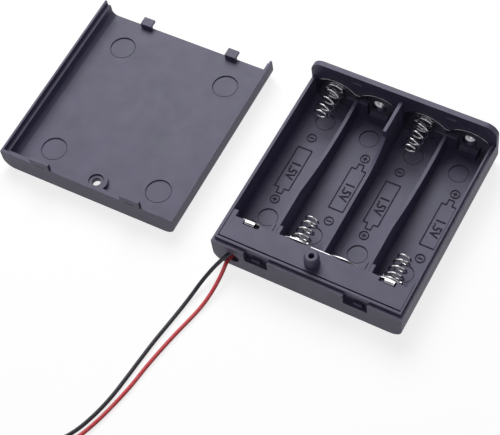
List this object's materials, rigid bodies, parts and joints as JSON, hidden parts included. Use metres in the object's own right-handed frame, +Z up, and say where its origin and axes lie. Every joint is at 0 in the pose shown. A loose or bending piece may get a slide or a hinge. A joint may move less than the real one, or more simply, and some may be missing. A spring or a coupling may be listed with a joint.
{
  "type": "cylindrical cell holder",
  "caption": "Enclosed flat holder for cylindrical cells laid side by side, with coil springs, button contacts, a wiring compartment, two leads and a separate screw-down cover.",
  "frame": {"origin": "middle of the underside of the tray", "axes": "+X across the bays, +Y along the cells towards the tall back wall, +Z up out of the open tray"},
  "size_m": [0.146, 0.1579, 0.019],
  "materials": {
    "black_abs": "satin moulded ABS",
    "nickel": "bright nickel plate",
    "spring_steel": "nickel-plated spring wire",
    "red_insulation": "semi-gloss PVC",
    "black_insulation": "semi-gloss PVC",
    "tinned_copper": "tinned strands",
    "solder": "smooth solder",
    "switch_paper": "laminated phenolic board",
    "switch_black": "matt moulded",
    "bronze": "spring bronze strip"
  },
  "bodies": {
    "holder": {"case_tray": "black_abs", "cover": "black_abs", "compartment_plate": "black_abs", "rear_link_plate_left": "nickel", "rear_link_plate_right": "nickel", "front_link_plate": "nickel", "positive_end_plate": "nickel", "negative_end_plate": "nickel", "spring_bay1_rear": "spring_steel", "spring_bay2_front": "spring_steel", "spring_bay3_rear": "spring_steel", "spring_bay4_front": "spring_steel", "switch_frame": "nickel", "switch_base": "switch_paper", "switch_terminal_left": "nickel", "switch_terminal_middle": "nickel", "switch_terminal_right": "nickel", "solder_joints": "solder", "jumper_wire": "black_insulation", "red_lead": "red_insulation", "black_lead": "black_insulation", "red_lead_tip": "tinned_copper", "black_lead_tip": "tinned_copper"},
    "slider": {"switch_knob": "switch_black", "switch_shoe": "bronze"}
  },
  "joints": [
    {"name": "switch_slide", "type": "slide", "parent": "holder", "child": "slider", "axis": [1, 0, 0], "range_m": [0, 0.002]}
  ]
}
